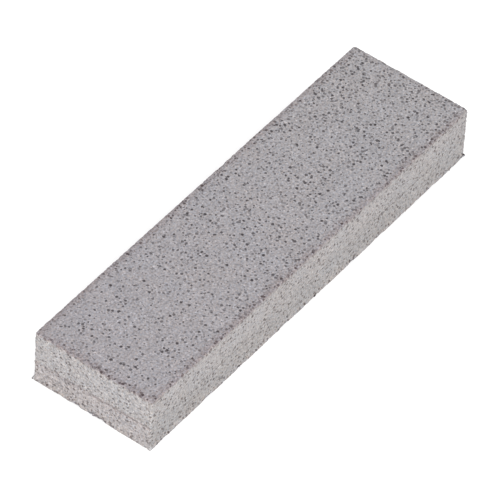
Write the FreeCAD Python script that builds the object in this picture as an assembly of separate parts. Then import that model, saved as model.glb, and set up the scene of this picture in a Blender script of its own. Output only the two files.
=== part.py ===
"""Hand whetstone: two abrasive layers joined by a thin film of cement.

The frame has +X along the stone, +Y across it and +Z up. The origin is the middle of the
underside, the face that lies on the bench. Sizes are in millimetres.

The stone comes apart, if at all, along its seam, so it is three solids:
    upper_abrasive_layer   the thicker layer, with the main honing face on top
    seam_cement            the film that joins the layers, set back so the seam shows as a fine groove
    lower_abrasive_layer   the thinner layer, with the second honing face and the pressing lip below
"""

import FreeCAD
import Part

import os

# Outline of the stone.
LENGTH = 90.0
WIDTH = 25.0
CORNER_RADIUS = 0.5  # of the four upright edges

# Thicknesses, from the bench upwards.
LOWER_THICKNESS = 4.55
CEMENT_THICKNESS = 0.2
UPPER_THICKNESS = 6.85

# The cement stops short of the flanks by this much, all the way round.
CEMENT_SETBACK = 0.3

# The arris round the upper honing face, dulled so that it doesn't cut the hand.
ARRIS_RADIUS = 0.35

# The seam's own edges keep a small pressed bevel, which makes the groove readable.
SEAM_BEVEL = 0.12

# The lip that the press leaves round the underside: a thin upright rim with a slope above it.
LIP_PROUD = 0.3
LIP_RIM_HEIGHT = 0.25
LIP_SLOPE_HEIGHT = 0.6

# Heights of the faces between the solids.
CEMENT_BASE = LOWER_THICKNESS
UPPER_BASE = CEMENT_BASE + CEMENT_THICKNESS
LIP_TOP = LIP_RIM_HEIGHT + LIP_SLOPE_HEIGHT

TOUCHING = 1e-6  # how close two heights are when an edge counts as lying at a height


def outline(z, grown_by=0.0):
    """The stone's rounded rectangle at height z, offset outwards by grown_by."""
    half_length = LENGTH / 2 + grown_by
    half_width = WIDTH / 2 + grown_by
    radius = CORNER_RADIUS + grown_by
    if radius <= TOUCHING:
        corners = [(-1, -1), (1, -1), (1, 1), (-1, 1), (-1, -1)]
        return Part.makePolygon(
            [FreeCAD.Vector(sx * half_length, sy * half_width, z) for sx, sy in corners]
        )
    edges = []
    for sx, sy in [(1, 1), (-1, 1), (-1, -1), (1, -1)]:
        centre = FreeCAD.Vector(sx * (half_length - radius), sy * (half_width - radius), z)
        along_x = centre + FreeCAD.Vector(sx * radius, 0, 0)
        along_y = centre + FreeCAD.Vector(0, sy * radius, 0)
        middle = centre + FreeCAD.Vector(sx, sy, 0).normalize() * radius
        first, last = (along_x, along_y) if sx * sy > 0 else (along_y, along_x)
        if edges:
            edges.append(Part.LineSegment(edges[-1].Vertexes[-1].Point, first).toShape())
        edges.append(Part.Arc(first, middle, last).toShape())
    edges.append(
        Part.LineSegment(edges[-1].Vertexes[-1].Point, edges[0].Vertexes[0].Point).toShape()
    )
    return Part.Wire(edges)


def slab(base, height, grown_by=0.0):
    """An upright slab on the stone's outline."""
    face = Part.Face(outline(base, grown_by))
    return face.extrude(FreeCAD.Vector(0, 0, height))


def taper(base, top, grown_at_base, grown_at_top):
    """A slab whose outline changes evenly between two heights."""
    wires = [outline(base, grown_at_base), outline(top, grown_at_top)]
    return Part.makeLoft(wires, True, True)


def joined(solids):
    """One clean solid from slabs that stand on each other."""
    whole = solids[0]
    for solid in solids[1:]:
        whole = whole.fuse(solid)
    return whole.removeSplitter()


def edges_at(shape, height):
    """The edges of a shape that lie wholly at one height."""
    return [
        edge
        for edge in shape.Edges
        if abs(edge.BoundBox.ZMin - height) < TOUCHING and abs(edge.BoundBox.ZMax - height) < TOUCHING
    ]


def upper_abrasive_layer():
    """The thick layer: bevelled at the seam, with a dulled arris round its honing face."""
    bevel_top = UPPER_BASE + SEAM_BEVEL
    top = UPPER_BASE + UPPER_THICKNESS
    layer = joined(
        [
            taper(UPPER_BASE, bevel_top, -SEAM_BEVEL, 0.0),
            slab(bevel_top, top - bevel_top),
        ]
    )
    return layer.makeFillet(ARRIS_RADIUS, edges_at(layer, top))


def seam_cement():
    """The film between the layers, set back from the flanks."""
    return slab(CEMENT_BASE, CEMENT_THICKNESS, -CEMENT_SETBACK)


def lower_abrasive_layer():
    """The thin layer: the pressing lip round its foot, and a bevel at the seam."""
    bevel_base = LOWER_THICKNESS - SEAM_BEVEL
    return joined(
        [
            slab(0.0, LIP_RIM_HEIGHT, LIP_PROUD),
            taper(LIP_RIM_HEIGHT, LIP_TOP, LIP_PROUD, 0.0),
            slab(LIP_TOP, bevel_base - LIP_TOP),
            taper(bevel_base, LOWER_THICKNESS, 0.0, -SEAM_BEVEL),
        ]
    )


def main():
    os.makedirs("parts", exist_ok=True)
    for make in (upper_abrasive_layer, seam_cement, lower_abrasive_layer):
        solid = make()
        print(f"{make.__name__}: {len(solid.Solids)} solid, {solid.Volume:.2f} mm3, valid {solid.isValid()}")
        solid.exportStep(f"parts/{make.__name__}.step")


main()
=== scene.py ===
"""Looks of a hand whetstone: two layers of bonded grit on a film of cement.

Everything is in metres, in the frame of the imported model: +X along the stone, +Y across it, +Z up,
and the origin in the middle of the underside. The two layers and the cement are modelled here on
the sizes of their CAD nodes, and coarse dark grains are bedded in the layers' skin.
"""

import math
import random

import bmesh
import bpy
from mathutils import Matrix, Vector


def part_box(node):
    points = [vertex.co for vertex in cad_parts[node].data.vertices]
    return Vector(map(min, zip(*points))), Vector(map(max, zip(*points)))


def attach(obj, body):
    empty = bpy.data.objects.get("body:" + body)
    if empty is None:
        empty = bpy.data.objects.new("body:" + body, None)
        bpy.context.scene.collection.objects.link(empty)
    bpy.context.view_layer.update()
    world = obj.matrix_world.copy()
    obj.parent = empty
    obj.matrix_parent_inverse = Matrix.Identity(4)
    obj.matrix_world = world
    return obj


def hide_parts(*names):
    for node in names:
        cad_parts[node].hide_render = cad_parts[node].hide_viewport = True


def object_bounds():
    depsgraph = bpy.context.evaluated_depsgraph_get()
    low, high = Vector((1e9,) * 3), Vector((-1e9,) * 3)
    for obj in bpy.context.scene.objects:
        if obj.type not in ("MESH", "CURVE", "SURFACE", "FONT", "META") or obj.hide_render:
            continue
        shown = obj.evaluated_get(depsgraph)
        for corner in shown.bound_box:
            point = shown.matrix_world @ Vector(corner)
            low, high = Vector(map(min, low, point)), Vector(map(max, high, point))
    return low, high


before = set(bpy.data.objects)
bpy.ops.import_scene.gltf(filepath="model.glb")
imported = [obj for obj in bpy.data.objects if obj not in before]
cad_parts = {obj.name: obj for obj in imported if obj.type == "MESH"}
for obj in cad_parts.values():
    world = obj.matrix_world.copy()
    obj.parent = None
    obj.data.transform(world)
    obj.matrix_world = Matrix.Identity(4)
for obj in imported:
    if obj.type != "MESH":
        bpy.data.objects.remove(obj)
CAD_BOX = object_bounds()

MM = 0.001

# The CAD nodes, and the planes that the looks share with them.
UPPER_LOW, UPPER_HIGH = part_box("upper_abrasive_layer")
LOWER_LOW, LOWER_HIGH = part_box("lower_abrasive_layer")
CEMENT_LOW, CEMENT_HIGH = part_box("seam_cement")
HALF_LENGTH = UPPER_HIGH.x
HALF_WIDTH = UPPER_HIGH.y
TOP = UPPER_HIGH.z
SEAM = (CEMENT_LOW.z + CEMENT_HIGH.z) / 2
CEMENT_THICKNESS = CEMENT_HIGH.z - CEMENT_LOW.z
LIP_PROUD = LOWER_HIGH.x - HALF_LENGTH

# Rounding of the blocks, before any wear. Where an upright edge meets a smaller rounding, the
# corner of the flat face stays inside the upright arc.
UPRIGHT_RADIUS = 0.24 * MM
ARRIS_RADIUS = 0.24 * MM
SMALL_RADIUS = UPRIGHT_RADIUS * (1 - math.cos(math.radians(45)))  # at the seam and at the foot
ROUNDING_STEPS = 3

# The mesh of the stone's skin: one cell is about the size of a middling grain.
CELL = 0.21 * MM
MOST_PARTS = 90  # that one round of cuts makes of an edge
MAP_SPLIT = 1.15  # radians between two faces that lie apart on a piece's map
HIDDEN_MARGIN = 0.9 * MM  # how far the fine mesh runs in under a face that the seam hides

# The press left the seam a little out of level across the stone.
SEAM_TILT = math.radians(1.25)
SEAM_RISE = HALF_WIDTH * math.tan(SEAM_TILT)  # and fall, from the middle to a flank

# Across an end face, the cement fills the seam flush up to WELL_FILLED, and worst at WORST_FILLED.
WELL_FILLED = 0.0
WORST_FILLED = -7.0 * MM

# The lip round the foot, which the press squeezed out. It is torn less along the flanks.
LIP_RIM = 0.25 * MM
LIP_SLOPE = 0.6 * MM
LIP_ON_FLANKS = 0.45
LIP_END_REACH = 2.0 * MM


# ---------------------------------------------------------------------------------------------
# Modelling helpers
# ---------------------------------------------------------------------------------------------


def only(*objects):
    """Selects these objects and nothing else. The first one is active."""
    bpy.ops.object.select_all(action="DESELECT")
    for each in objects:
        each.select_set(True)
    bpy.context.view_layer.objects.active = objects[0]


def pick(piece, kind, wanted):
    """In edit mode, selects the vertices, edges or faces that wanted says yes to, and no others."""
    bpy.ops.mesh.select_mode(type=kind)
    bpy.ops.mesh.select_all(action="DESELECT")
    mesh = bmesh.from_edit_mesh(piece.data)
    for element in {"VERT": mesh.verts, "EDGE": mesh.edges, "FACE": mesh.faces}[kind]:
        element.select = wanted(element)
    mesh.select_flush_mode()
    bmesh.update_edit_mesh(piece.data)


def finish_modifier(piece, kind, **settings):
    """Adds a modifier, sets it and applies it."""
    modifier = piece.modifiers.new(kind.title(), kind)
    for key, value in settings.items():
        setattr(modifier, key, value)
    only(piece)
    bpy.ops.object.modifier_apply(modifier=modifier.name)


def seam_distance(point):
    """How far a point on the stone's skin is from the seam, up or down."""
    return abs(point.z - SEAM + point.y * math.tan(SEAM_TILT)) - CEMENT_THICKNESS / 2


def badly_filled(point):
    """How badly the cement fills the seam at a point. It gets worse towards the near flank."""
    return fade(point.y, WORST_FILLED, WELL_FILLED)


def seam_arris(point):
    """1 along the seam where the cement fills it badly, and 0 a little way off."""
    return fade(seam_distance(point), 0.05 * MM, 0.35 * MM) * badly_filled(point)


def runs_along(axis, least):
    """Says yes to edges longer than least that run along an axis."""

    def wanted(edge):
        way = edge.verts[1].co - edge.verts[0].co
        return way.length > least and abs(way[axis]) > 0.99 * way.length

    return wanted


def rounded_block(name, low, high, top_radius, foot_radius):
    """A closed block with rounded upright edges and its own rounding at top and foot."""
    bpy.ops.object.select_all(action="DESELECT")
    bpy.ops.mesh.primitive_cube_add(size=1, location=(low + high) / 2, scale=high - low)
    block = bpy.context.object
    block.name = name
    bpy.ops.object.transform_apply(location=True, rotation=True, scale=True)
    weights = block.data.attributes.new("bevel_weight_edge", "FLOAT", "EDGE")
    widest = max(UPRIGHT_RADIUS, top_radius, foot_radius)
    for edge in block.data.edges:
        start, end = (block.data.vertices[index].co for index in edge.vertices)
        if abs(start.z - end.z) > CELL:
            radius = UPRIGHT_RADIUS
        elif start.z > (low.z + high.z) / 2:
            radius = top_radius
        else:
            radius = foot_radius
        weights.data[edge.index].value = radius / widest
    finish_modifier(
        block, "BEVEL", width=widest, segments=ROUNDING_STEPS, limit_method="WEIGHT"
    )
    return block


def tilt_seam(piece, height):
    """Turns the faces at a height about the stone's long axis, as far as the seam is out of level."""
    bpy.ops.object.mode_set(mode="EDIT")
    pick(piece, "VERT", lambda vertex: abs(vertex.co.z - height) < 1.5 * SMALL_RADIUS)
    bpy.ops.transform.rotate(
        value=SEAM_TILT, orient_axis="X", center_override=(0, 0, height)
    )
    bpy.ops.object.mode_set(mode="OBJECT")


def cut_into_cells(piece):
    """Cuts all long faces into cells of one size, by rings of cuts along each axis."""
    bpy.ops.object.mode_set(mode="EDIT")
    for axis in range(3):
        parts = MOST_PARTS
        while parts > 1:
            pick(piece, "EDGE", runs_along(axis, 1.5 * CELL))
            mesh = bmesh.from_edit_mesh(piece.data)
            longest = max((edge.calc_length() for edge in mesh.edges if edge.select), default=0)
            parts = round(longest / CELL)
            if parts > MOST_PARTS:
                bpy.ops.mesh.subdivide(number_cuts=parts // MOST_PARTS)
            elif parts > 1:
                bpy.ops.mesh.subdivide(number_cuts=parts - 1)
    bpy.ops.object.mode_set(mode="OBJECT")


def clear_hidden_side(piece, height):
    """Makes the middle of a face inside the seam one flat face, because nobody can see it."""
    inner_x = HALF_LENGTH - HIDDEN_MARGIN
    inner_y = HALF_WIDTH - HIDDEN_MARGIN

    def hidden(face):
        middle = face.calc_center_median()
        near = abs(middle.z - height) < SEAM_RISE + SMALL_RADIUS
        return near and abs(face.normal.z) > 0.9 and abs(middle.x) < inner_x and abs(middle.y) < inner_y

    bpy.ops.object.mode_set(mode="EDIT")
    pick(piece, "FACE", hidden)
    bpy.ops.mesh.dissolve_faces()
    bpy.ops.object.mode_set(mode="OBJECT")


def lay_out_map(piece):
    """Lays the skin out flat while the block is still smooth, for the finishes to be kept on."""
    piece.data.uv_layers.new(name="OFBake")
    only(piece)
    bpy.ops.object.mode_set(mode="EDIT")
    bpy.ops.mesh.select_all(action="SELECT")
    bpy.ops.uv.smart_project(angle_limit=MAP_SPLIT, island_margin=0.004, scale_to_bounds=True)
    bpy.ops.object.mode_set(mode="OBJECT")


def weigh(piece, name, weight_at):
    """A vertex group with a weight worked out for each vertex from its place."""
    group = piece.vertex_groups.new(name=name)
    for vertex in piece.data.vertices:
        weight = weight_at(vertex.co)
        if weight > 0:
            group.add([vertex.index], min(weight, 1.0), "REPLACE")


def fade(value, full, none):
    """1 at full, 0 at none, even in between."""
    return min(1.0, max(0.0, (value - none) / (full - none)))


# ---------------------------------------------------------------------------------------------
# Relief: how pressing, grinding and knocks have left the skin
# ---------------------------------------------------------------------------------------------


def cloud_relief(name, size, octaves, starts, full):
    """Lumps of one size: nothing where the noise is under starts, and all of it from full on."""
    texture = bpy.data.textures.new(name, "CLOUDS")
    texture.noise_scale = size
    texture.noise_depth = octaves
    texture.use_clamp = True
    texture.contrast = 1 / (full - starts)
    texture.intensity = 0.5 - (starts - 0.5) * texture.contrast
    return texture


RELIEFS = {
    "waves": cloud_relief("pressing waves", 8.0 * MM, octaves=1, starts=0.2, full=0.8),
    "grit": cloud_relief("grit", 0.42 * MM, octaves=2, starts=0.25, full=0.75),
    "pits": cloud_relief("pits", 0.38 * MM, octaves=1, starts=0.58, full=0.8),
    "chips": cloud_relief("chips", 0.8 * MM, octaves=2, starts=0.5, full=0.75),
    "knocks": cloud_relief("knocks", 2.2 * MM, octaves=2, starts=0.62, full=0.85),
    "setback": cloud_relief("setback", 1.6 * MM, octaves=2, starts=0.45, full=0.8),
    "torn lip": cloud_relief("torn lip", 2.6 * MM, octaves=2, starts=0.46, full=0.68),
}

WAVE_DEPTH = 0.03 * MM
FLANK_GRIT_DEPTH = 0.12 * MM
FLANK_GRIT_LEVEL = 0.6
SETBACK_DEPTH = 0.25 * MM


def roughen(piece, relief, depth, group, level=0.0, direction="NORMAL"):
    """Sinks the skin by up to depth, where the relief is high and the group has weight.

    The skin stays where it was where the relief is at level, and stands proud below that.
    """
    finish_modifier(
        piece,
        "DISPLACE",
        texture=RELIEFS[relief],
        texture_coords="LOCAL",
        direction=direction,
        vertex_group=group,
        mid_level=level,
        strength=-depth,
    )


def blunt_corner(piece, side_x, side_y, height, reach, depth):
    """Wears one corner of the block round as far as reach, by depth at the corner itself."""
    corner = Vector((side_x * HALF_LENGTH, side_y * HALF_WIDTH, height))
    name = f"corner {side_x} {side_y}"
    weigh(piece, name, lambda point: fade((point - corner).length, 0.0, reach) ** 2)
    finish_modifier(
        piece, "DISPLACE", direction="NORMAL", vertex_group=name, mid_level=0.0, strength=-depth
    )


def hold_inside(piece, low, high):
    """The die and the grinding wheel leave nothing outside the stone's own box."""
    only(piece)
    bpy.ops.object.mode_set(mode="EDIT")
    for axis in range(3):
        flat = [1, 1, 1]
        flat[axis] = 0
        for limit, way in ((low[axis], -1), (high[axis], 1)):
            pick(piece, "VERT", lambda vertex: way * (vertex.co[axis] - limit) > 0)
            bpy.ops.transform.resize(value=flat, center_override=[limit] * 3)
    bpy.ops.object.mode_set(mode="OBJECT")


def arris_distance(point):
    """How far a point on the stone's skin is from the nearest edge of the whole block."""
    gaps = sorted(
        [
            abs(HALF_LENGTH - abs(point.x)),
            abs(HALF_WIDTH - abs(point.y)),
            min(abs(TOP - point.z), abs(point.z)),
        ]
    )
    return gaps[1]


# ---------------------------------------------------------------------------------------------
# Shader groups
# ---------------------------------------------------------------------------------------------


class Sheet:
    """A node tree with short ways to add nodes: sockets are linked, numbers are set."""

    def __init__(self, tree):
        self.tree = tree

    def node(self, kind, inputs=None, **settings):
        node = self.tree.nodes.new(kind)
        for key, value in settings.items():
            setattr(node, key, value)
        for key, value in (inputs or {}).items():
            if isinstance(value, bpy.types.NodeSocket):
                self.tree.links.new(value, node.inputs[key])
            else:
                node.inputs[key].default_value = value
        return node

    def math(self, operation, first, second=0.0):
        return self.node("ShaderNodeMath", {0: first, 1: second}, operation=operation).outputs[0]

    def plus(self, first, second):
        return self.math("ADD", first, second)

    def minus(self, first, second):
        return self.math("SUBTRACT", first, second)

    def times(self, first, second):
        return self.math("MULTIPLY", first, second)

    def vector_math(self, operation, inputs):
        return self.node("ShaderNodeVectorMath", inputs, operation=operation).outputs["Vector"]

    def mix(self, share, first, second, blend="MIX"):
        """A colour that goes from the first to the second as the share goes from 0 to 1."""
        node = self.node("ShaderNodeMix", data_type="RGBA", blend_type=blend)
        for key, value in (("Factor", share), ("A", first), ("B", second)):
            wanted = "VALUE" if key == "Factor" else "RGBA"
            socket = next(s for s in node.inputs if s.name == key and s.type == wanted)
            if isinstance(value, bpy.types.NodeSocket):
                self.tree.links.new(value, socket)
            else:
                socket.default_value = value
        return next(s for s in node.outputs if s.type == "RGBA")

    def tinted(self, colour, tint):
        return self.mix(1.0, colour, tint, "MULTIPLY")

    def step(self, value, low, high, smooth=True):
        """0 where value is at low, 1 where it is at high."""
        inputs = {"Value": value, "From Min": low, "From Max": high}
        kind = "SMOOTHSTEP" if smooth else "LINEAR"
        return self.node("ShaderNodeMapRange", inputs, interpolation_type=kind).outputs["Result"]


def shader_group(name, inputs, outputs):
    """A shader node group: its sheet, its input node and its output node."""
    tree = bpy.data.node_groups.new(name, "ShaderNodeTree")
    for label, kind, value in inputs:
        socket = tree.interface.new_socket(label, in_out="INPUT", socket_type=kind)
        if value is not None:
            socket.default_value = value
    for label, kind in outputs:
        tree.interface.new_socket(label, in_out="OUTPUT", socket_type=kind)
    sheet = Sheet(tree)
    return sheet, sheet.node("NodeGroupInput").outputs, sheet.node("NodeGroupOutput").inputs


FLOAT = "NodeSocketFloat"
VECTOR = "NodeSocketVector"

SMALLEST_SPECK = 0.4  # as a share of the largest
SPECK_CORE = 0.65  # the share of a speck's radius within which it shows in full
RING_REACH = 2.0  # in radii of the speck


def grit_specks_group():
    """Grains cut through by the skin.

    Mask is where they are, Ring is a soft band of bond close round each, and Tone is a chance
    number for each grain.
    """
    sheet, given, result = shader_group(
        "Grit specks",
        [
            ("Vector", VECTOR, None),
            ("Spacing", FLOAT, 0.5 * MM),
            ("Size", FLOAT, 0.4),
            ("Share", FLOAT, 0.5),
            ("Raggedness", FLOAT, 0.3),
        ],
        [("Mask", FLOAT), ("Ring", FLOAT), ("Tone", FLOAT)],
    )
    scale = sheet.math("DIVIDE", 1.0, given["Spacing"])
    cells = sheet.vector_math("SCALE", {"Vector": given["Vector"], "Scale": scale})
    ragged = sheet.node("ShaderNodeTexNoise", {"Vector": cells, "Scale": 3.0, "Detail": 1.0})
    centred = sheet.vector_math("SUBTRACT", {0: ragged.outputs["Color"], 1: (0.5, 0.5, 0.5)})
    pushed = sheet.vector_math("SCALE", {"Vector": centred, "Scale": given["Raggedness"]})
    place = sheet.vector_math("ADD", {0: cells, 1: pushed})
    grains = sheet.node("ShaderNodeTexVoronoi", {"Vector": place, "Scale": 1.0})
    dice = sheet.node("ShaderNodeTexWhiteNoise", {"Vector": grains.outputs["Color"]})
    chance = sheet.node("ShaderNodeSeparateColor", {"Color": dice.outputs["Color"]}).outputs
    present = sheet.math("LESS_THAN", chance["Red"], given["Share"])
    growth = sheet.plus(SMALLEST_SPECK, sheet.times(chance["Green"], 1.0 - SMALLEST_SPECK))
    radius = sheet.times(given["Size"], growth)
    distance = grains.outputs["Distance"]
    spot = sheet.minus(1.0, sheet.step(distance, sheet.times(radius, SPECK_CORE), radius))
    near = sheet.minus(1.0, sheet.step(distance, radius, sheet.times(radius, RING_REACH)))
    ring = sheet.minus(near, spot)
    sheet.tree.links.new(sheet.times(spot, present), result["Mask"])
    sheet.tree.links.new(sheet.times(ring, present), result["Ring"])
    sheet.tree.links.new(chance["Blue"], result["Tone"])
    return sheet.tree


def arris_group():
    """Ragged bands along the stone's edges.

    Edge is a band along all twelve edges of the block. Brink is a band along the honing faces
    only, measured down the flank, so it covers a honing face whole. Joint is a band on both
    sides of the seam. The finishes darken Edge and Brink partly for dark grit crowded at the
    arris and partly as painted shade of the chipped arris.
    """
    sheet, given, result = shader_group(
        "Arris wear and painted shade",
        [
            ("Vector", VECTOR, None),
            ("Reach", FLOAT, 0.8 * MM),
            ("Raggedness", FLOAT, 0.8),
            ("Patch", FLOAT, 0.8 * MM),
        ],
        [("Edge", FLOAT), ("Brink", FLOAT), ("Joint", FLOAT)],
    )
    place = sheet.node("ShaderNodeSeparateXYZ", {"Vector": given["Vector"]}).outputs
    gap_x = sheet.minus(HALF_LENGTH, sheet.math("ABSOLUTE", place["X"]))
    gap_y = sheet.minus(HALF_WIDTH, sheet.math("ABSOLUTE", place["Y"]))
    from_middle = sheet.math("ABSOLUTE", sheet.minus(place["Z"], TOP / 2))
    gap_z = sheet.minus(TOP / 2, from_middle)
    least = sheet.math("MINIMUM", gap_x, gap_y)
    most = sheet.math("MAXIMUM", gap_x, gap_y)
    gap = sheet.math("MAXIMUM", least, sheet.math("MINIMUM", most, gap_z))
    fine = sheet.math("DIVIDE", 1.0, given["Patch"])
    noise = sheet.node(
        "ShaderNodeTexNoise", {"Vector": given["Vector"], "Scale": fine, "Detail": 2.0}
    ).outputs["Fac"]
    swing = sheet.times(sheet.minus(noise, 0.5), given["Raggedness"])
    shift = sheet.times(swing, sheet.times(given["Reach"], 4.0))
    rise = sheet.times(place["Y"], -math.tan(SEAM_TILT))
    over_seam = sheet.minus(sheet.minus(place["Z"], SEAM), rise)
    gap_seam = sheet.math("ABSOLUTE", over_seam)
    for distance, name in ((gap, "Edge"), (gap_z, "Brink"), (gap_seam, "Joint")):
        ragged = sheet.plus(distance, shift)
        mask = sheet.minus(1.0, sheet.step(ragged, 0.0, given["Reach"]))
        sheet.tree.links.new(mask, result[name])
    return sheet.tree


def mottle_group():
    """Soft drifts of tone and of warmth, each from -1 to 1, in even patches of one size."""
    sheet, given, result = shader_group(
        "Bond mottle",
        [("Vector", VECTOR, None), ("Patch", FLOAT, 5 * MM), ("Detail", FLOAT, 2.0)],
        [("Drift", FLOAT), ("Warmth", FLOAT)],
    )
    fine = sheet.math("DIVIDE", 1.0, given["Patch"])
    noise = sheet.node(
        "ShaderNodeTexNoise",
        {"Vector": given["Vector"], "Scale": fine, "Detail": given["Detail"]},
    )
    colours = sheet.node("ShaderNodeSeparateColor", {"Color": noise.outputs["Color"]}).outputs
    for value, name in ((noise.outputs["Fac"], "Drift"), (colours["Blue"], "Warmth")):
        drift = sheet.step(value, 0.3, 0.7, smooth=False)
        doubled = sheet.minus(sheet.times(drift, 2.0), 1.0)
        sheet.tree.links.new(doubled, result[name])
    return sheet.tree


GRIT_SPECKS = grit_specks_group()
ARRIS_WEAR_AND_SHADE = arris_group()
BOND_MOTTLE = mottle_group()


# ---------------------------------------------------------------------------------------------
# Finishes
# ---------------------------------------------------------------------------------------------


def shade(red, green, blue):
    """A colour given as a painter reads it, 0 to 255, turned to the linear values of a shader."""

    def linear(value):
        value /= 255
        return value / 12.92 if value <= 0.04045 else ((value + 0.055) / 1.055) ** 2.4

    return (linear(red), linear(green), linear(blue), 1.0)


# What a grain does to the colour of the bond round it, and the colour of the dark ones.
PALE_GRAIN = (1.28, 1.28, 1.28, 1.0)
GREY_GRAIN = (0.68, 0.68, 0.68, 1.0)
BROWN_TINT = (1.03, 0.96, 0.97, 1.0)
GREY_BLACK_GRAIN = shade(52, 46, 49)
BROWN_BLACK_GRAIN = shade(60, 47, 47)
RIM_GRAIN = shade(62, 46, 48)


def tinted_grey(sheet, drift, amount, warmth=0.0, blush=0.0):
    """A grey that multiplies a colour by 1 plus amount times the drift, warmer where told."""
    value = sheet.plus(1.0, sheet.times(drift, amount))
    change = sheet.times(warmth, blush)
    redder = sheet.times(value, sheet.plus(1.0, change))
    bluer = sheet.times(value, sheet.minus(1.0, change))
    return sheet.node(
        "ShaderNodeCombineColor", {"Red": redder, "Green": value, "Blue": bluer}
    ).outputs["Color"]


def new_finish(name):
    """A material's sheet, its object coordinates and its Principled shader."""
    material = bpy.data.materials.new(name)
    material.use_nodes = True
    sheet = Sheet(material.node_tree)
    sheet.tree.nodes.clear()
    shader = sheet.node("ShaderNodeBsdfPrincipled")
    sheet.node("ShaderNodeOutputMaterial", {"Surface": shader.outputs["BSDF"]})
    place = sheet.node("ShaderNodeTexCoord").outputs["Object"]
    return material, sheet, place, shader


def placed(sheet, group, inputs):
    """One of the shared groups, placed in a material with its own values."""
    return sheet.node("ShaderNodeGroup", inputs, node_tree=group).outputs


def finest_relief(sheet, place, shader, mottle):
    """Bumps too fine for the mesh to hold, on a mottle of their own."""
    relief = placed(sheet, BOND_MOTTLE, {"Vector": place, **mottle})["Drift"]
    bump = sheet.node("ShaderNodeBump", {"Height": relief, "Distance": 0.03 * MM, "Strength": 0.8})
    sheet.tree.links.new(bump.outputs["Normal"], shader.inputs["Normal"])


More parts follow.
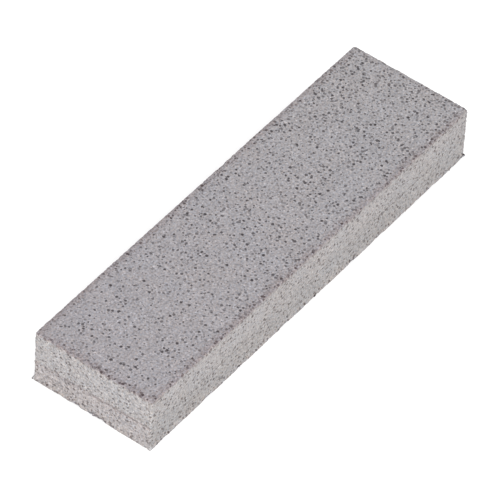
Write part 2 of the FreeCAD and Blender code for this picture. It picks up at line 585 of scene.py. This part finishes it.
def abrasive_finish(
    name,
    bond,
    low,
    edge,
    rim,
    reach,
    contrast,
    crowd,
    grain,
    darkness,
    line,
    drift=0.0,
    greener=0.0,
    joint=0.0,
):
    """Bonded grit: pale, grey and dark grains in a grey bond, of another tone along the edges.

    low is the tone of the bond at the foot. edge and rim are the tones of a broad band along the
    stone's edges and of a narrow one, as far as reach, along those that line names; they are darker
    partly for dark grit gathered at the arris and partly as painted shade of the chipped arris.
    crowd is the share of dark grains, grain their colour and darkness how much of it shows. drift is
    how many more of them lie at the right end, greener how much less pink the bond is there, and
    joint how strong a stain the seam has.
    """
    material, sheet, place, shader = new_finish(name)

    wide = placed(sheet, ARRIS_WEAR_AND_SHADE, {"Vector": place, "Reach": 1.5 * MM, "Raggedness": 0.35})
    narrow = placed(sheet, ARRIS_WEAR_AND_SHADE, {"Vector": place, "Reach": reach, "Raggedness": 0.4})
    along, _, height = sheet.node("ShaderNodeSeparateXYZ", {"Vector": place}).outputs
    off_end = sheet.step(along, HALF_LENGTH - 0.5 * MM, HALF_LENGTH - 2.5 * MM)
    off_foot = sheet.step(height, 1.0 * MM, 3.0 * MM)
    wide_strength = sheet.plus(0.35, sheet.times(off_end, 0.65))
    off_both = sheet.plus(0.1, sheet.times(off_foot, 0.9))
    narrow_strength = sheet.times(wide_strength, off_both)
    band = sheet.times(wide["Edge"], wide_strength)
    stain = sheet.times(narrow["Joint"], joint)
    brink = sheet.math("MAXIMUM", sheet.times(narrow[line], narrow_strength), stain)
    colour = sheet.mix(sheet.step(height, 1.5 * MM, 9.0 * MM), low, bond)
    # The edge and rim tones darken the bands along the arrises partly for dark grit there and partly as
    # painted shade of the chipped arris.
    colour = sheet.mix(sheet.times(band, 0.85), colour, edge)
    colour = sheet.mix(sheet.times(brink, 0.95), colour, rim)

    patches = placed(sheet, BOND_MOTTLE, {"Vector": place, "Patch": 5 * MM, "Detail": 2.0})
    dusting = placed(sheet, BOND_MOTTLE, {"Vector": place, "Patch": 0.4 * MM, "Detail": 3.0})
    broad = tinted_grey(sheet, patches["Drift"], 0.03, patches["Warmth"], 0.012)
    fine = tinted_grey(sheet, dusting["Drift"], 0.29 * contrast, dusting["Warmth"], 0.06)
    colour = sheet.tinted(sheet.tinted(colour, broad), fine)
    green = sheet.plus(1.0, sheet.times(along, greener / HALF_LENGTH))
    tint = sheet.node("ShaderNodeCombineColor", {"Red": 1.0, "Green": green, "Blue": 1.0})
    colour = sheet.tinted(colour, tint.outputs["Color"])

    pale_grains = placed(
        sheet,
        GRIT_SPECKS,
        {"Vector": place, "Spacing": 0.43 * MM, "Size": 0.55, "Share": 0.55, "Raggedness": 0.5},
    )
    pale = sheet.tinted(colour, PALE_GRAIN)
    colour = sheet.mix(sheet.times(pale_grains["Mask"], contrast), colour, pale)

    grey_grains = placed(
        sheet,
        GRIT_SPECKS,
        {"Vector": place, "Spacing": 0.56 * MM, "Size": 0.55, "Share": 0.6, "Raggedness": 0.5},
    )
    grey = sheet.tinted(colour, GREY_GRAIN)
    brown = sheet.tinted(grey, BROWN_TINT)
    grey = sheet.mix(sheet.times(grey_grains["Tone"], brink), grey, brown)
    depth = sheet.plus(0.4, sheet.times(grey_grains["Tone"], 0.6))
    mask = sheet.times(grey_grains["Mask"], sheet.times(depth, contrast))
    colour = sheet.mix(mask, colour, grey)

    clumps = placed(sheet, BOND_MOTTLE, {"Vector": place, "Patch": 2.5 * MM, "Detail": 1.0})
    clump = sheet.times(sheet.step(clumps["Drift"], -0.5, 0.8), brink)
    more = sheet.plus(sheet.times(band, 0.12), sheet.times(clump, 0.5))
    more = sheet.plus(more, sheet.times(along, drift / HALF_LENGTH))
    share = sheet.plus(crowd, more)
    dark_grains = placed(
        sheet,
        GRIT_SPECKS,
        {"Vector": place, "Spacing": 0.62 * MM, "Size": 0.62, "Share": share, "Raggedness": 0.5},
    )
    ring = tinted_grey(sheet, dark_grains["Ring"], 0.16 * contrast)
    colour = sheet.tinted(colour, ring)
    dark = sheet.mix(brink, grain, RIM_GRAIN)
    lift = sheet.times(clump, 1.0 - darkness)
    depth = sheet.plus(0.3, sheet.times(dark_grains["Tone"], 0.65))
    depth = sheet.times(depth, sheet.plus(darkness, lift))
    mask = sheet.times(dark_grains["Mask"], depth)
    colour = sheet.mix(mask, colour, dark)

    roughness = sheet.minus(0.92, sheet.times(dark_grains["Mask"], 0.35))
    sheet.tree.links.new(colour, shader.inputs["Base Color"])
    sheet.tree.links.new(roughness, shader.inputs["Roughness"])
    shader.inputs["Specular IOR Level"].default_value = 0.25
    finest_relief(sheet, place, shader, {"Patch": 0.16 * MM, "Detail": 3.0})
    return material


def cement_finish():
    """The film in the seam: dark, dull and dusty."""
    material, sheet, place, shader = new_finish("seam cement")
    drift = placed(sheet, BOND_MOTTLE, {"Vector": place, "Patch": 0.9 * MM, "Detail": 3.0})["Drift"]
    dust = sheet.step(drift, -0.2, 0.9)
    colour = sheet.mix(dust, shade(130, 120, 119), shade(160, 152, 151))
    roughness = sheet.plus(0.88, sheet.times(drift, 0.08))
    sheet.tree.links.new(colour, shader.inputs["Base Color"])
    sheet.tree.links.new(roughness, shader.inputs["Roughness"])
    finest_relief(sheet, place, shader, {"Patch": 0.2 * MM, "Detail": 2.0})
    return material


def grain_finish(name, darkest, lightest):
    """Coarse grains of hard abrasive: dark, a little glassy and dusty, each of its own tone."""
    material, sheet, place, shader = new_finish(name)
    tones = sheet.node("ShaderNodeTexVoronoi", {"Vector": place, "Scale": 1 / (0.8 * MM)})
    chance = sheet.node("ShaderNodeSeparateColor", {"Color": tones.outputs["Color"]}).outputs
    colour = sheet.mix(chance["Red"], darkest, lightest)
    dust = placed(sheet, BOND_MOTTLE, {"Vector": place, "Patch": 0.15 * MM, "Detail": 2.0})["Drift"]
    dusty = sheet.times(sheet.step(dust, 0.1, 1.0), 0.35)
    colour = sheet.mix(dusty, colour, shade(150, 145, 147))
    roughness = sheet.plus(0.4, sheet.times(chance["Green"], 0.3))
    sheet.tree.links.new(colour, shader.inputs["Base Color"])
    sheet.tree.links.new(roughness, shader.inputs["Roughness"])
    return material


# The rim tones, and the honing face's edge tone, are darker than the bond partly for dark grit at the
# arris and partly as painted shade of the chipped arris.
HONING_FINISH = abrasive_finish(
    "honing face",
    bond=shade(155, 151.5, 154.5),
    low=shade(155, 151.5, 154.5),
    edge=shade(149, 145, 147.5),
    rim=shade(142, 135.5, 137.5),
    reach=1.9 * MM,
    contrast=0.92,
    crowd=0.73,
    grain=GREY_BLACK_GRAIN,
    darkness=1.0,
    line="Edge",
    drift=0.28,
    greener=0.01,
)
FLANK_FINISH = abrasive_finish(
    "flank",
    bond=shade(156.5, 153, 153),
    low=shade(151.5, 148.5, 148),
    edge=shade(156.5, 153, 152),
    rim=shade(138, 130, 130),
    reach=0.95 * MM,
    contrast=0.75,
    crowd=0.85,
    grain=BROWN_BLACK_GRAIN,
    darkness=0.9,
    line="Brink",
)
UPPER_END_FINISH = abrasive_finish(
    "upper end",
    bond=shade(156.5, 153, 153),
    low=shade(156.5, 153, 153),
    edge=shade(157, 153, 152),
    rim=shade(141, 132, 132),
    reach=0.75 * MM,
    contrast=1.0,
    crowd=0.8,
    grain=BROWN_BLACK_GRAIN,
    darkness=0.8,
    line="Brink",
    joint=0.5,
)
LOWER_END_FINISH = abrasive_finish(
    "lower end",
    bond=shade(157, 151.5, 151.5),
    low=shade(156, 151, 151),
    edge=shade(156, 151, 150),
    rim=shade(145, 137, 136),
    reach=0.75 * MM,
    contrast=1.0,
    crowd=0.85,
    grain=BROWN_BLACK_GRAIN,
    darkness=0.8,
    line="Brink",
    joint=0.5,
)
CEMENT_FINISH = cement_finish()
GRAIN_FINISH = grain_finish("coarse grains", shade(38, 32, 35), shade(104, 92, 94))


def give_finishes(piece, finishes):
    """Gives the piece its finishes in turn, each to the faces that its test says yes to."""
    only(piece)
    bpy.ops.object.mode_set(mode="EDIT")
    for index, (finish, wanted) in enumerate(finishes):
        piece.data.materials.append(finish)
        pick(piece, "FACE", wanted)
        piece.active_material_index = index
        bpy.ops.object.material_slot_assign()
    bpy.ops.object.mode_set(mode="OBJECT")


# How squarely a face has to look one way, as a cosine, to have the finish of an end or of a
# honing face.
END_FACING = 0.8
HONING_FACING = 0.5


def anywhere(face):
    return True


def at_an_end(face):
    return abs(face.normal.x) > END_FACING


def badly_filled_end(face):
    return at_an_end(face) and badly_filled(face.calc_center_median()) > 0


def at_level(height, way):
    """Says yes to faces at a height that face up (way 1) or down (way -1)."""

    def wanted(face):
        level = abs(face.calc_center_median().z - height) < 2 * CELL
        return way * face.normal.z > HONING_FACING and level

    return wanted


# ---------------------------------------------------------------------------------------------
# Pieces
# ---------------------------------------------------------------------------------------------


def ride_as(piece, node=None):
    """The piece rides on the one body, and may stand for a CAD node."""
    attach(piece, "root")
    if node:
        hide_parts(node)


def roughen_skin(block, honing_height):
    """Waves all over a layer, and the grit and pits of its honing face and of its flanks."""
    weigh(block, "all over", lambda point: 1.0)
    weigh(block, "honing", lambda point: fade(abs(point.z - honing_height), 0.0, CELL))
    weigh(block, "flanks", lambda point: fade(abs(point.z - honing_height), 2 * CELL, 0.0))
    roughen(block, "waves", WAVE_DEPTH, "all over")
    roughen(block, "grit", 0.05 * MM, "honing")
    roughen(block, "pits", 0.1 * MM, "honing")
    roughen(block, "grit", FLANK_GRIT_DEPTH, "flanks", level=FLANK_GRIT_LEVEL)
    roughen(block, "pits", 0.08 * MM, "flanks")


def chip_seam_arris(block):
    """Small chips out of a layer's edge at the seam, where the cement doesn't fill it."""
    weigh(block, "seam arris", seam_arris)
    roughen(block, "chips", 0.06 * MM, "seam arris")


def upper_layer():
    """The thick layer, with the upper honing face."""
    block = rounded_block("upper_layer", UPPER_LOW, UPPER_HIGH, ARRIS_RADIUS, SMALL_RADIUS)
    tilt_seam(block, UPPER_LOW.z)
    cut_into_cells(block)
    clear_hidden_side(block, UPPER_LOW.z)
    lay_out_map(block)
    give_finishes(
        block,
        [
            (FLANK_FINISH, anywhere),
            (UPPER_END_FINISH, at_an_end),
            (HONING_FINISH, at_level(TOP, 1)),
        ],
    )
    weigh(block, "arris", lambda point: fade(arris_distance(point), 0.05 * MM, 0.5 * MM))
    roughen_skin(block, TOP)
    roughen(block, "chips", 0.1 * MM, "arris")
    roughen(block, "knocks", 0.18 * MM, "arris")
    chip_seam_arris(block)
    blunt_corner(block, 1, -1, TOP, reach=1.0 * MM, depth=0.22 * MM)
    blunt_corner(block, -1, 1, TOP, reach=1.0 * MM, depth=0.14 * MM)
    blunt_corner(block, 1, 1, TOP, reach=0.8 * MM, depth=0.2 * MM)
    hold_inside(block, UPPER_LOW - Vector((0, 0, 2 * SEAM_RISE)), UPPER_HIGH)
    only(block)
    bpy.ops.object.shade_smooth()
    ride_as(block, "upper_abrasive_layer")
    return block


def squeeze_out_lip(block):
    """Widens the rows at the foot: the rim in full, and the slope above it less and less."""
    only(block)
    bpy.ops.object.mode_set(mode="EDIT")
    mesh = bmesh.from_edit_mesh(block.data)
    heights = sorted({round(v.co.z, 6) for v in mesh.verts if v.co.z < LIP_RIM + LIP_SLOPE})
    for height in heights:
        proud = LIP_PROUD * fade(height, LIP_RIM, LIP_RIM + LIP_SLOPE)
        pick(block, "VERT", lambda vertex: round(vertex.co.z, 6) == height)
        widen = (1 + proud / HALF_LENGTH, 1 + proud / HALF_WIDTH, 1)
        bpy.ops.transform.resize(value=widen, center_override=(0, 0, height))
    bpy.ops.object.mode_set(mode="OBJECT")


def lip(point):
    """1 at the foot of the ends, fading up the lip's slope, and LIP_ON_FLANKS along the flanks."""
    at_end = fade(abs(point.x), HALF_LENGTH, HALF_LENGTH - LIP_END_REACH)
    share = LIP_ON_FLANKS + (1 - LIP_ON_FLANKS) * at_end
    return fade(point.z, 0.0, LIP_RIM + LIP_SLOPE) * share


def lower_layer():
    """The thin layer, with the lip round its foot and the lower honing face."""
    low = Vector((-HALF_LENGTH, -HALF_WIDTH, LOWER_LOW.z))
    high = Vector((HALF_LENGTH, HALF_WIDTH, LOWER_HIGH.z))
    block = rounded_block("lower_layer", low, high, SMALL_RADIUS, SMALL_RADIUS)
    tilt_seam(block, LOWER_HIGH.z)
    cut_into_cells(block)
    squeeze_out_lip(block)
    clear_hidden_side(block, LOWER_HIGH.z)
    lay_out_map(block)
    give_finishes(
        block,
        [
            (FLANK_FINISH, anywhere),
            (LOWER_END_FINISH, at_an_end),
            (HONING_FINISH, at_level(0.0, -1)),
        ],
    )
    weigh(block, "lip", lip)
    roughen_skin(block, 0.0)
    roughen(block, "chips", 0.06 * MM, "lip")
    roughen(block, "torn lip", 0.5 * MM, "lip")
    blunt_corner(block, 1, -1, 0.0, reach=1.2 * MM, depth=0.4 * MM)
    chip_seam_arris(block)
    hold_inside(block, LOWER_LOW, LOWER_HIGH + Vector((0, 0, 2 * SEAM_RISE)))
    only(block)
    bpy.ops.object.shade_smooth()
    ride_as(block, "lower_abrasive_layer")
    return block


def cement_film():
    """The film in the seam: rubbed flush along the flanks, and unevenly set back at the ends."""
    spare = Vector((HALF_LENGTH - CEMENT_HIGH.x, HALF_WIDTH - CEMENT_HIGH.y, 0))
    low = CEMENT_LOW - spare
    high = CEMENT_HIGH + spare
    film = rounded_block("cement_film", low, high, 0.0, 0.0)
    only(film)
    bpy.ops.object.mode_set(mode="EDIT")
    bpy.ops.mesh.select_all(action="SELECT")
    bpy.ops.transform.rotate(value=SEAM_TILT, orient_axis="X", center_override=(0, 0, SEAM))
    bpy.ops.object.mode_set(mode="OBJECT")
    cut_into_cells(film)
    for height in (low.z, high.z):
        clear_hidden_side(film, height)
    lay_out_map(film)
    give_finishes(
        film,
        [
            (FLANK_FINISH, anywhere),
            (LOWER_END_FINISH, at_an_end),
            (CEMENT_FINISH, badly_filled_end),
        ],
    )

    inside = HALF_LENGTH - HIDDEN_MARGIN

    def skin(point):
        flank = fade(abs(point.y), HALF_WIDTH, HALF_WIDTH - CELL)
        return max(flank, fade(abs(point.x), HALF_LENGTH, HALF_LENGTH - CELL))

    def set_back(point, way):
        return fade(way * point.x, HALF_LENGTH, inside) * badly_filled(point)

    weigh(film, "skin", skin)
    weigh(film, "right end", lambda point: set_back(point, 1))
    weigh(film, "left end", lambda point: set_back(point, -1))
    weigh(film, "all over", lambda point: 1.0)
    roughen(film, "waves", 0.01 * MM, "all over")
    roughen(film, "waves", WAVE_DEPTH, "skin")
    roughen(film, "grit", FLANK_GRIT_DEPTH, "skin", level=FLANK_GRIT_LEVEL)
    roughen(film, "setback", SETBACK_DEPTH, "right end", direction="X")
    roughen(film, "setback", -SETBACK_DEPTH, "left end", direction="X")
    only(film)
    bpy.ops.object.shade_smooth_by_angle(angle=math.radians(40))
    ride_as(film, "seam_cement")
    return film


# ---------------------------------------------------------------------------------------------
# Coarse grains, bedded in the skin
# ---------------------------------------------------------------------------------------------

GRAIN_SHAPES = 6
GRAIN_SMALLEST = 0.2 * MM
GRAIN_LARGEST = 0.46 * MM
GRAIN_PROUD = 0.05 * MM
GRAINS_PER_SQUARE_MM = 0.45
SMALL_GRAIN_BIAS = 1.6  # the power of a chance number: over 1, small grains are the commonest

# The least and the most of what varies from grain to grain, as shares of its breadth, and of
# GRAIN_PROUD for the last.
GRAIN_LENGTHS = (1.0, 1.35)
GRAIN_WIDTHS = (0.75, 1.0)
GRAIN_HEIGHTS = (0.6, 0.9)
GRAIN_STANDS = (0.3, 1.0)

# How thick the coarse grains lie on a flank, against 1 on the honing face, and what the nearness of
# an edge adds.
FLANK_CROWD = 0.3
EDGE_EXTRA = 0.8

# How squarely a face looks the way of the honing face, as a cosine: grains lie thick above the
# first, and there are none below the second, inside the seam.
CROWDED_FACING = 0.6
SEAM_FACING = -0.3


def grain_shape(number):
    """One angular grain, a unit across: a rough crystal with its corners pushed about."""
    bpy.ops.object.select_all(action="DESELECT")
    bpy.ops.mesh.primitive_ico_sphere_add(subdivisions=1, radius=0.5)
    grain = bpy.context.object
    grain.data.uv_layers[0].name = "OFBake"
    bpy.ops.object.mode_set(mode="EDIT")
    bpy.ops.mesh.select_all(action="SELECT")
    bpy.ops.transform.vertex_random(offset=0.14, seed=number)
    bpy.ops.uv.smart_project(angle_limit=MAP_SPLIT, island_margin=0.02, scale_to_bounds=True)
    bpy.ops.object.mode_set(mode="OBJECT")
    return grain


def bedded(stone, face, breadth, chance):
    """Where a grain of a given breadth lies: on a face of the stone, turned anyhow, and sunk in."""
    normal = face.normal
    turn = normal.to_track_quat("Z", "Y").to_matrix().to_4x4()
    spin = Matrix.Rotation(chance.uniform(0, 2 * math.pi), 4, "Z")
    length = breadth * chance.uniform(*GRAIN_LENGTHS)
    width = breadth * chance.uniform(*GRAIN_WIDTHS)
    height = breadth * chance.uniform(*GRAIN_HEIGHTS)
    sunk = height / 2 - GRAIN_PROUD * chance.uniform(*GRAIN_STANDS)
    scale = Matrix.Diagonal((length, width, height, 1.0))
    return Matrix.Translation(face.center - normal * sunk) @ turn @ spin @ scale


def coarse_grains(name, stone, crowd, seed):
    """Copies of the modelled grains all over a stone's skin, as one piece."""
    chance = random.Random(seed)
    faces = []
    weights = []
    for face in stone.data.polygons:
        weight = crowd(face) * face.area
        if weight > 0:
            faces.append(face)
            weights.append(weight)
    count = round(sum(weights) / (MM * MM) * GRAINS_PER_SQUARE_MM)
    shapes = [grain_shape(number) for number in range(GRAIN_SHAPES)]
    columns = math.ceil(math.sqrt(count))
    copies = []
    for index, face in enumerate(chance.choices(faces, weights=weights, k=count)):
        shape = chance.choice(shapes)
        copy = bpy.data.objects.new(name, shape.data.copy())
        growth = chance.random() ** SMALL_GRAIN_BIAS
        breadth = GRAIN_SMALLEST + (GRAIN_LARGEST - GRAIN_SMALLEST) * growth
        copy.data.transform(bedded(stone, face, breadth, chance))
        corner = Vector((index % columns, index // columns))
        for spot in copy.data.uv_layers[0].uv:
            spot.vector = (corner + spot.vector) / columns
        bpy.context.collection.objects.link(copy)
        copies.append(copy)
    for shape in shapes:
        bpy.data.objects.remove(shape)
    only(*copies)
    bpy.ops.object.join()
    grains = bpy.context.object
    grains.name = name
    grains.data.materials.append(GRAIN_FINISH)
    hold_inside(grains, *CAD_BOX)
    ride_as(grains)
    return grains


def honing_and_flanks(honing_way):
    """How thick the coarse grains lie: most on the honing face, and more still near the edges."""

    def weight(face):
        facing = honing_way * face.normal.z
        if facing < SEAM_FACING:
            return 0.0
        near_edge = fade(arris_distance(face.center), 0.2 * MM, 1.2 * MM)
        share = 1.0 if facing > CROWDED_FACING else FLANK_CROWD
        return share * (1 + EDGE_EXTRA * near_edge)

    return weight


# ---------------------------------------------------------------------------------------------
# Studio
# ---------------------------------------------------------------------------------------------

AZIMUTH = math.radians(-55.54)
ELEVATION = math.radians(46.52)
ROLL = math.radians(4.0)
DISTANCE = 0.8944
LENS = 373.4
SENSOR = 36.0
AIM_RIGHT = -0.88 * MM
AIM_UP = -1.48 * MM
PAPER_WHITE = 0.9
PAPER_GLOW = 0.22
SURROUND_STRENGTH = 0.95


def way_out(azimuth, elevation):
    """The way from the stone at an angle round from -Y and an angle above the floor."""
    level = math.cos(elevation)
    return Vector((math.sin(azimuth) * level, -math.cos(azimuth) * level, math.sin(elevation)))


def looking_in(back):
    """How a camera or a lamp that is out that way turns to face the stone."""
    return (-back).to_track_quat("-Z", "Y").to_matrix()


def camera():
    """A long lens from the stone's near corner, level with nothing but a small roll."""
    middle = Vector((0, 0, TOP / 2))
    back = way_out(AZIMUTH, ELEVATION)
    turned = looking_in(back) @ Matrix.Rotation(ROLL, 3, "Z")
    aim = middle + turned @ Vector((AIM_RIGHT, AIM_UP, 0))
    lens = bpy.data.cameras.new("camera")
    lens.lens = LENS
    lens.sensor_width = SENSOR
    eye = bpy.data.objects.new("camera", lens)
    eye.matrix_world = Matrix.Translation(aim + back * DISTANCE) @ turned.to_4x4()
    bpy.context.scene.collection.objects.link(eye)
    bpy.context.scene.camera = eye


def softbox(name, azimuth, elevation, distance, size, power):
    """A square area light that faces the stone."""
    back = way_out(math.radians(azimuth), math.radians(elevation))
    light = bpy.data.lights.new(name, "AREA")
    light.size = size
    light.energy = power
    lamp = bpy.data.objects.new(name, light)
    lamp.matrix_world = Matrix.Translation(back * distance) @ looking_in(back).to_4x4()
    bpy.context.scene.collection.objects.link(lamp)


def studio():
    """A white floor, an even white surround and one softbox near the camera."""
    bpy.ops.object.select_all(action="DESELECT")
    bpy.ops.mesh.primitive_plane_add(size=4.0, location=(0, 0, 0))
    floor = bpy.context.object
    floor.name = "floor"
    material, sheet, place, shader = new_finish("floor paper")
    drift = placed(sheet, BOND_MOTTLE, {"Vector": place, "Patch": 0.2, "Detail": 2.0})["Drift"]
    paper = (PAPER_WHITE, PAPER_WHITE, PAPER_WHITE, 1.0)
    colour = sheet.tinted(paper, tinted_grey(sheet, drift, 0.005))
    sheet.tree.links.new(colour, shader.inputs["Base Color"])
    shader.inputs["Roughness"].default_value = 1.0
    shader.inputs["Specular IOR Level"].default_value = 0.0
    shader.inputs["Emission Color"].default_value = (1.0, 1.0, 1.0, 1.0)
    shader.inputs["Emission Strength"].default_value = PAPER_GLOW
    floor.data.materials.append(material)

    world = bpy.data.worlds.new("surround")
    world.use_nodes = True
    background = world.node_tree.nodes["Background"]
    background.inputs["Color"].default_value = (1.0, 1.0, 1.0, 1.0)
    background.inputs["Strength"].default_value = SURROUND_STRENGTH
    bpy.context.scene.world = world
    softbox("near softbox", azimuth=-50, elevation=30, distance=0.8, size=0.7, power=4.5)
    bpy.context.scene.view_settings.view_transform = "Standard"


upper = upper_layer()
lower = lower_layer()
cement_film()
coarse_grains("upper_grains", upper, honing_and_flanks(1), seed=11)
coarse_grains("lower_grains", lower, honing_and_flanks(-1), seed=12)
studio()
camera()
